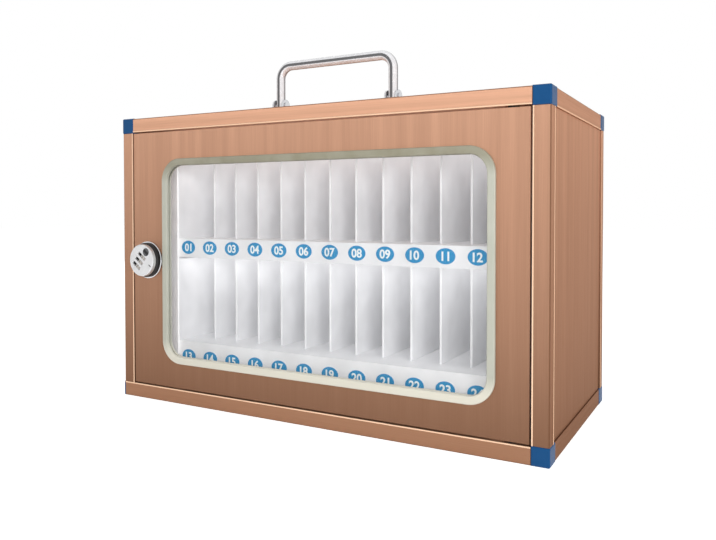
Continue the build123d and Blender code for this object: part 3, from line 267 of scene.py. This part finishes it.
def bright_metal(name, colour, roughness, smear=0.08, metallic=1.0):
    """Plated metal: faint polishing haze and softened edges."""
    shader = Shader(name, colour, roughness, metallic=metallic)
    haze = shader.noise(HAZE_SCALE, detail=4.0)
    fine = shader.noise(POLISH_SCALE, detail=2.0)
    hazy = tuple(HAZE_SHADE * c for c in colour)
    shader.colour(shader.mix(shader.spread(haze, 0.0, 1.0), hazy, colour))
    shader.roughness(shader.spread(haze, low=roughness, high=roughness + smear))
    shader.bump(fine, POLISH_DEPTH, strength=0.4, edge_radius=METAL_SOFTENING)
    return shader.material


CHROME_LIGHT = (0.82, 0.82, 0.84)
CHROME_HAZY = (0.60, 0.60, 0.62)
CHROME_REFLECTED_DARK = (0.06, 0.06, 0.065)
BAND_STARTS, BAND_FULL = 0.93, 0.975  # painted reflection: the rod's middle is dark where it faces along Y by this much,
REFLECTED_BAND_DARKNESS = 0.92
RIM_FULL, RIM_ENDS = 0.10, 0.36  # and its outlines are painted greyer where it faces along Y by less than this
REFLECTED_RIM_DARKNESS = 0.75


def rod_chrome():
    """Polished rod: light, with a painted dark reflection as a band along its front and back, and outlines painted
    greyer as reflection.
    """
    shader = Shader("rod_chrome", CHROME_LIGHT, roughness=0.08, metallic=0.28)
    haze = shader.noise(HAZE_SCALE, detail=4.0)
    # Painted reflection: a dark band where the rod faces front or back, greyer at its outlines.
    forward = shader.outward("Y")
    middle = shader.spread(forward, 0.0, REFLECTED_BAND_DARKNESS, BAND_STARTS, BAND_FULL)
    rim = shader.spread(forward, REFLECTED_RIM_DARKNESS, 0.0, RIM_FULL, RIM_ENDS)
    light = shader.mix(shader.spread(haze, 0.0, 0.3), CHROME_LIGHT, CHROME_HAZY)
    shader.colour(shader.mix(shader.sums("MAXIMUM", middle, rim), light, CHROME_REFLECTED_DARK))
    shader.roughness(shader.spread(haze, low=0.06, high=0.14))
    return shader.material


GASKET_LIT_FOOT, GASKET_SIDE = linear(222, 218, 203), linear(182, 183, 170)
GASKET_SHADED_HEAD = linear(140, 136, 116)
GASKET_BLOOM = linear(214, 212, 200)
GASKET_FADE_STARTS, GASKET_FADE_ENDS = 8 * MM, 24 * MM  # from the gasket's foot and from its head
BLOOM_SCALE, RUBBER_GRAIN_SCALE = 60.0, 1800.0


def rubber():
    """Grey-green gasket: matt, with a foot made pale by painted light and a head made darker by painted shade, a
    faint bloom and a moulding grain.
    """
    shader = Shader("gasket_rubber", GASKET_SIDE, roughness=0.55, Sheen_Weight=0.15)
    low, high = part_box("window_gasket")
    bloom = shader.noise(BLOOM_SCALE, detail=3.0)
    grains = shader.noise(RUBBER_GRAIN_SCALE, detail=2.0)
    # Painted light and shade: paler towards the foot, darker towards the head.
    foot = shader.spread(shader.along("Z"), 1.0, 0.0, low.z + GASKET_FADE_STARTS, low.z + GASKET_FADE_ENDS)
    head = shader.spread(shader.along("Z"), 0.0, 1.0, high.z - GASKET_FADE_ENDS, high.z - GASKET_FADE_STARTS)
    sides = shader.mix(head, GASKET_SIDE, GASKET_SHADED_HEAD)
    base = shader.mix(foot, sides, GASKET_LIT_FOOT)
    shader.colour(shader.mix(shader.spread(bloom, 0.0, 0.16), base, GASKET_BLOOM))
    shader.roughness(shader.spread(grains, low=0.48, high=0.64))
    shader.bump(grains, GRAIN_DEPTH, strength=0.5)
    return shader.material


PANE_TINT = (0.40, 0.42, 0.42)
PANE_HAZE_SCALE = 22.0


def clear_sheet():
    """Acrylic pane: clear, with the faintest polishing haze."""
    shader = Shader("clear_pane", PANE_TINT, roughness=0.04, Alpha=0.04)
    haze = shader.noise(PANE_HAZE_SCALE, detail=2.0)
    shader.roughness(shader.spread(haze, low=0.02, high=0.08))
    return shader.material


def paint(material, *names):
    """Give CAD nodes or pieces a finish."""
    for name in names:
        thing = nodes[name] if isinstance(name, str) else name
        thing.data.materials.clear()
        thing.data.materials.append(material)


# along_x is a painted lighter copy of the brushed rose, for rails and panels brushed side to side.
along_x = brushed_rose("x", RAIL_GAIN, RAIL_FOOT_GAIN)
along_y, along_z = brushed_rose("y"), brushed_rose("z")
# The second colour of each plastic is the painted highlight on its edges.
blue = plastic("corner_blue", linear(20, 76, 126), linear(26, 82, 130), 0.42, gloss=0.2)
white = plastic("white_plastic", linear(243, 243, 245), linear(252, 252, 252), 0.42)
label_blue = plastic("label_blue", linear(4, 140, 196), linear(16, 150, 204), 0.35, relief=PRINT_DEPTH)
figure_white = plastic("figure_white", linear(250, 252, 253), linear(255, 255, 255), 0.35, relief=PRINT_DEPTH)
halo_cyan = plastic("halo_cyan", linear(138, 208, 228), linear(170, 224, 238), 0.35, relief=PRINT_DEPTH)
black = plastic("knob_black", linear(18, 17, 17), linear(40, 38, 36), 0.45)
dial_grey = plastic("dial_grey", linear(188, 182, 176), linear(206, 201, 195), 0.5)
figure_black = plastic("figure_black", linear(30, 30, 32), linear(50, 50, 52), 0.5, relief=PRINT_DEPTH)
# Black nylon for the hinge bushes; their darkness is also painted shade, keeping the door gaps dark where they
# show through.
dark_nylon = plastic("black_nylon", linear(36, 33, 31), linear(52, 48, 45), 0.55, gloss=0.2)
chrome = bright_metal("bright_chrome", (0.70, 0.70, 0.72), 0.10)
satin = bright_metal("satin_chrome", (0.74, 0.74, 0.75), 0.30, smear=0.12, metallic=0.5)
# Painted shade: the key plug's steel is dark, standing in for the shade in its keyway.
shaded_plug_steel = bright_metal("shaded_plug_steel", (0.13, 0.13, 0.135), 0.35)
steel = bright_metal("zinc_steel", (0.62, 0.62, 0.64), 0.34, smear=0.14)
mill = bright_metal("mill_aluminium", (0.78, 0.78, 0.79), 0.38, smear=0.12)

paint(along_x, "front_top_rail", "front_bottom_rail", "rear_top_rail", "rear_bottom_rail", "top_panel",
      "bottom_panel")
paint(along_y, "left_top_rail", "left_bottom_rail", "right_top_rail", "right_bottom_rail")
paint(along_z, "front_left_post", "front_right_post", "rear_left_post", "rear_right_post",
      "left_panel", "right_panel", "back_panel", "door_panel")
paint(blue, *[name for name in nodes if name.startswith("corner_")])
paint(white, "left_cheek", "right_cheek", "lower_tray", "upper_shelf", "lower_dividers", "upper_dividers",
      "rear_liners", "shelf_angles")
paint(label_blue, *LABEL_NODES)
paint(rubber(), "window_gasket")
paint(clear_sheet(), "window_pane")
paint(black, "knob_body")
paint(satin, "knob_face_plate", "handle_rivets")
paint(shaded_plug_steel, "key_plug")
paint(rod_chrome(), "handle_bail")
paint(chrome, "lock_body", "handle_brackets", "handle_pivot_pins")
paint(dial_grey, "dial_wheel_1", "dial_wheel_2", "dial_wheel_3")
paint(steel, "base_screws", "cheek_screws", "hinge_pins", "lock_nut", "dial_axle", "lock_cam", "cam_screw")
paint(mill, "door_hinge_stile", "door_stop_angle")
paint(dark_nylon, "hinge_bushes")


# ---------------------------------------------------------------- figures
FACE_SHARE = 0.72  # the built-in face's figures are this share of its size


def figures(text, height, thickness, fatten=0.0):
    """A mesh of raised figures, centred on its origin, facing +Z with up along +Y."""
    curve = bpy.data.curves.new(f"text_{text}", "FONT")
    curve.body = text
    curve.align_x = "CENTER"
    curve.align_y = "CENTER"
    curve.size = height / FACE_SHARE
    curve.extrude = thickness / 2
    curve.offset = fatten
    holder = bpy.data.objects.new("text_holder", curve)
    scene.collection.objects.link(holder)
    bpy.context.view_layer.update()
    mesh = bpy.data.meshes.new_from_object(holder.evaluated_get(bpy.context.evaluated_depsgraph_get()))
    bpy.data.objects.remove(holder)
    low = Vector([min(v.co[i] for v in mesh.vertices) for i in range(3)])
    high = Vector([max(v.co[i] for v in mesh.vertices) for i in range(3)])
    mesh.transform(Matrix.Translation(-(low + high) / 2))
    return mesh


def piece(name, mesh, material, body):
    """Link a mesh as a named piece that rides on a body."""
    made = bpy.data.objects.new(name, mesh)
    scene.collection.objects.link(made)
    paint(material, made)
    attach(made, body)
    return made


def facing(place, out, up):
    """A frame at a place, +Z pointing out and +Y up."""
    out, up = out.normalized(), up.normalized()
    turn = Matrix((up.cross(out), up, out)).transposed().to_4x4()
    return Matrix.Translation(place) @ turn


def joined(meshes):
    """Several meshes as one."""
    whole = bpy.data.meshes.new("joined")
    points, faces = [], []
    for mesh in meshes:
        start = len(points)
        points += [tuple(v.co) for v in mesh.vertices]
        faces += [tuple(start + i for i in polygon.vertices) for polygon in mesh.polygons]
    whole.from_pydata(points, [], faces)
    return whole


LABEL_FIGURE_HEIGHT = 7.6 * MM
FIGURE_RAISED, FIGURE_FATTEN = 0.16 * MM, 0.20 * MM
HALO_RAISED, HALO_FATTEN = 0.08 * MM, 0.42 * MM
FRONTWARD, UPWARD = Vector((0, -1, 0)), Vector((0, 0, 1))


def print_slot_numbers():
    """Two figures on each oval plate, white with a pale rim."""
    for row, node in enumerate(LABEL_NODES):
        low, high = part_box(node)
        for i in range(SLOTS_IN_ROW):
            number = f"{row * SLOTS_IN_ROW + i + 1:02d}"
            (left, _, _), (right, _, _) = slot_boxes[f"slot_{number}"]
            centre = Vector(((left + right) / 2, low.y, (low.z + high.z) / 2))
            for kind, raised, fatten, finish in (("halo", HALO_RAISED, HALO_FATTEN, halo_cyan),
                                                 ("number", FIGURE_RAISED, FIGURE_FATTEN, figure_white)):
                mesh = figures(number, LABEL_FIGURE_HEIGHT, raised, fatten)
                mesh.transform(facing(centre + FRONTWARD * raised / 2, FRONTWARD, UPWARD))
                piece(f"{kind}_{number}", mesh, finish, "case")


DIAL_FIGURE_HEIGHT = 2.0 * MM
DIAL_FIGURE_THICKNESS = 0.06 * MM
DIAL_FIGURE_SUNK = DIAL_FIGURE_THICKNESS / 4  # its middle lies this far inside the wheel's radius


def print_dial_figures():
    """0 to 9 round each number wheel, one on each land."""
    for wheel in (1, 2, 3):
        node = nodes[f"dial_wheel_{wheel}"]
        centre = Vector(joints[f"dial_{wheel}_turn"]["pos_m"])
        radius = max(((v.co - centre) - DIAL_AXIS * (v.co - centre).dot(DIAL_AXIS)).length
                     for v in node.data.vertices)
        meshes = []
        for figure in range(DIAL_FIGURES):
            out = Matrix.Rotation(math.tau * figure / DIAL_FIGURES, 3, DIAL_AXIS) @ FRONTWARD
            mesh = figures(str(figure), DIAL_FIGURE_HEIGHT, DIAL_FIGURE_THICKNESS)
            mesh.transform(facing(centre + out * (radius - DIAL_FIGURE_SUNK), out, DIAL_AXIS))
            meshes.append(mesh)
        piece(f"dial_figures_{wheel}", joined(meshes), figure_black, f"dial_{wheel}")


KEYWAY_WIDTH, KEYWAY_HEIGHT = 6.8 * MM, 2.8 * MM
LEAF_THICKNESS = 0.5 * MM
LEAF_SUNK = 0.35 * MM
LEAF_GAP = 0.12 * MM
LEAF_BEVEL = 0.12 * MM


def bevelled_plate(width, height, thickness, bevel):
    """A plate with soft edges, centred on its origin, facing +Z."""
    form = bmesh.new()
    bmesh.ops.create_cube(form, size=1.0)
    bmesh.ops.scale(form, vec=(width, height, thickness), verts=form.verts)
    bmesh.ops.bevel(form, geom=form.edges[:], offset=bevel, segments=2, profile=0.5, affect="EDGES")
    mesh = bpy.data.meshes.new("plate")
    form.to_mesh(mesh)
    form.free()
    return mesh


def shut_keyway():
    """Two dark leaves that close the key's slot, painted shade standing in for the dark inside it."""
    face = Vector(joints["key_turn"]["pos_m"]) - FRONTWARD * (LEAF_SUNK + LEAF_THICKNESS / 2)
    leaf_height = (KEYWAY_HEIGHT - LEAF_GAP) / 2
    leaves = []
    for side in (-1, 1):
        leaf = bevelled_plate(KEYWAY_WIDTH, leaf_height, LEAF_THICKNESS, LEAF_BEVEL)
        middle = face + DIAL_AXIS * side * (leaf_height + LEAF_GAP) / 2
        leaf.transform(facing(middle, FRONTWARD, DIAL_AXIS))
        leaves.append(leaf)
    # The leaves are painted shade: black pieces set in the key's slot.
    piece("keyway_shade_leaves", joined(leaves), black, "key_plug")


POINTER_OUT, POINTER_UP = 12.4 * MM, 3.2 * MM
POINTER_LENGTH, POINTER_WIDTH = 3.0 * MM, 0.9 * MM
POINTER_THICKNESS = 0.3 * MM
POINTER_RAISED = 0.01 * MM
POINTER_BEVEL = 0.08 * MM


def mark_pointer():
    """The dark mark near the rim of the knob's face."""
    up = Vector(joints["key_turn"]["pos_m"]) - LOCK_CENTRE
    up.y = 0.0
    up.normalize()
    centre = LOCK_CENTRE + up.cross(FRONTWARD) * POINTER_OUT + up * POINTER_UP
    centre.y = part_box("knob_face_plate")[0].y - POINTER_RAISED + POINTER_THICKNESS / 2
    mark = bevelled_plate(POINTER_LENGTH, POINTER_WIDTH, POINTER_THICKNESS, POINTER_BEVEL)
    mark.transform(facing(centre, FRONTWARD, up))
    piece("pointer_mark", mark, black, "lock_knob")


print_slot_numbers()
print_dial_figures()
shut_keyway()
mark_pointer()


# ---------------------------------------------------------------- studio
def add_camera():
    lens = bpy.data.cameras.new("camera")
    lens.sensor_width = SENSOR
    lens.lens = FOCAL_PIXELS / IMAGE_WIDTH * SENSOR
    lens.shift_x = (IMAGE_WIDTH / 2 - PRINCIPAL_POINT[0]) / IMAGE_WIDTH
    lens.shift_y = (PRINCIPAL_POINT[1] - IMAGE_HEIGHT / 2) / IMAGE_WIDTH
    lens.clip_start = CLIP_START
    camera = bpy.data.objects.new("camera", lens)
    camera.location = CAMERA_PLACE
    camera.rotation_euler = (math.pi / 2 + CAMERA_PITCH, 0.0, CAMERA_YAW)
    scene.collection.objects.link(camera)
    scene.camera = camera


def seen_directly(tree):
    """1 for camera, glossy and transmission rays, else 0."""
    path = tree.nodes.new("ShaderNodeLightPath")
    total = path.outputs["Is Camera Ray"]
    for ray in ("Is Glossy Ray", "Is Transmission Ray"):
        most = tree.nodes.new("ShaderNodeMath")
        most.operation = "MAXIMUM"
        tree.links.new(total, most.inputs[0])
        tree.links.new(path.outputs[ray], most.inputs[1])
        total = most.outputs[0]
    return total


WORLD_LIGHT = 0.50


def add_world():
    world = bpy.data.worlds.new("studio")
    scene.world = world
    world.use_nodes = True
    tree = world.node_tree
    tree.nodes.clear()
    light = tree.nodes.new("ShaderNodeBackground")
    light.inputs["Strength"].default_value = WORLD_LIGHT
    shown = tree.nodes.new("ShaderNodeBackground")
    shown.inputs["Color"].default_value = (1.0, 1.0, 1.0, 1.0)
    mixer = tree.nodes.new("ShaderNodeMixShader")
    out = tree.nodes.new("ShaderNodeOutputWorld")
    tree.links.new(seen_directly(tree), mixer.inputs[0])
    tree.links.new(light.outputs[0], mixer.inputs[1])
    tree.links.new(shown.outputs[0], mixer.inputs[2])
    tree.links.new(mixer.outputs[0], out.inputs["Surface"])


FLOOR_SIZE = 12.0
FLOOR_GREY = (0.80, 0.80, 0.80, 1.0)
FLOOR_GLOW = 0.72  # share of the floor's white that shadows can't take


def add_floor():
    mesh = bpy.data.meshes.new("floor")
    reach = FLOOR_SIZE / 2
    corners = [(-reach, -reach, 0), (reach, -reach, 0), (reach, reach, 0), (-reach, reach, 0)]
    mesh.from_pydata(corners, [], [(0, 1, 2, 3)])
    floor = bpy.data.objects.new("floor", mesh)
    scene.collection.objects.link(floor)
    material = bpy.data.materials.new("floor")
    material.use_nodes = True
    tree = material.node_tree
    tree.nodes.clear()
    matt = tree.nodes.new("ShaderNodeBsdfDiffuse")
    matt.inputs["Color"].default_value = FLOOR_GREY
    glow = tree.nodes.new("ShaderNodeEmission")
    strength = tree.nodes.new("ShaderNodeMath")
    strength.operation = "MULTIPLY"
    strength.inputs[1].default_value = FLOOR_GLOW
    tree.links.new(seen_directly(tree), strength.inputs[0])
    tree.links.new(strength.outputs[0], glow.inputs["Strength"])
    both = tree.nodes.new("ShaderNodeAddShader")
    out = tree.nodes.new("ShaderNodeOutputMaterial")
    tree.links.new(matt.outputs[0], both.inputs[0])
    tree.links.new(glow.outputs[0], both.inputs[1])
    tree.links.new(both.outputs[0], out.inputs["Surface"])
    mesh.materials.append(material)


def add_lamp(name, place, turn, size, power):
    """A soft rectangular lamp that shines along its own -Z."""
    data = bpy.data.lights.new(name, "AREA")
    data.shape = "RECTANGLE"
    data.size, data.size_y = size
    data.energy = power
    lamp = bpy.data.objects.new(name, data)
    lamp.location = place
    lamp.rotation_euler = turn
    lamp.visible_glossy = False  # no lamp shows as a hot spot in the metal
    scene.collection.objects.link(lamp)
    return lamp


FRONT_AIM, REAR_AIM = Vector((0.0, -0.05, 0.15)), Vector((0.0, 0.05, 0.15))
FRONT_LAMP_SIZE, REAR_LAMP_SIZE = (0.7, 0.5), (0.9, 0.6)
KEY_PLACE, KEY_POWER = Vector((0.55, -1.40, 0.50)), 9.0
SIDE_PLACE, SIDE_POWER = Vector((1.30, -1.20, 0.45)), 10.0
REAR_PLACE, REAR_POWER = Vector((-1.20, 1.40, 0.80)), 12.0


def light_studio():
    """Two large soft lamps in front of the case and one behind it."""
    for name, place, aim, size, power in (("key", KEY_PLACE, FRONT_AIM, FRONT_LAMP_SIZE, KEY_POWER),
                                          ("side", SIDE_PLACE, FRONT_AIM, FRONT_LAMP_SIZE, SIDE_POWER),
                                          ("rear", REAR_PLACE, REAR_AIM, REAR_LAMP_SIZE, REAR_POWER)):
        add_lamp(name, place, (aim - place).to_track_quat("-Z", "Y").to_euler(), size, power)


ROW_POWER = 0.21
ROW_LIGHT_DROP = 1 * MM
FACING_DOWN = (0.0, 0.0, 0.0)


def light_row(first, last):
    """A soft light over one row of slots, so that the closed case doesn't darken it."""
    low, high = Vector(slot_boxes[first][0]), Vector(slot_boxes[last][1])
    middle = (low + high) / 2
    place = (middle.x, middle.y, high.z - ROW_LIGHT_DROP)
    size = (high.x - low.x, high.y - low.y)
    lamp = add_lamp(f"over_{first}", place, FACING_DOWN, size, ROW_POWER)
    lamp.visible_camera = False


STRIP_POWER = 0.013
STRIP_WIDTH = 10 * MM
STRIP_BEFORE = 7 * MM
FACING_BACK = (math.pi / 2, 0.0, 0.0)


def light_strip(name, cheek, side):
    """A soft strip before a cheek's front edge, which the closed door shades."""
    low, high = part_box(cheek)
    window_low, window_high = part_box("window_pane")
    edge = window_low.x if side < 0 else window_high.x
    place = (edge + side * STRIP_WIDTH / 2, low.y - STRIP_BEFORE, (low.z + high.z) / 2)
    size = (STRIP_WIDTH, high.z - low.z)
    lamp = add_lamp(name, place, FACING_BACK, size, STRIP_POWER)
    lamp.visible_camera = False


add_camera()
add_world()
add_floor()
light_studio()
light_row("slot_01", "slot_12")
light_row("slot_13", "slot_24")
light_strip("left_strip", "left_cheek", -1)
light_strip("right_strip", "right_cheek", 1)

scene.view_settings.view_transform = "Standard"
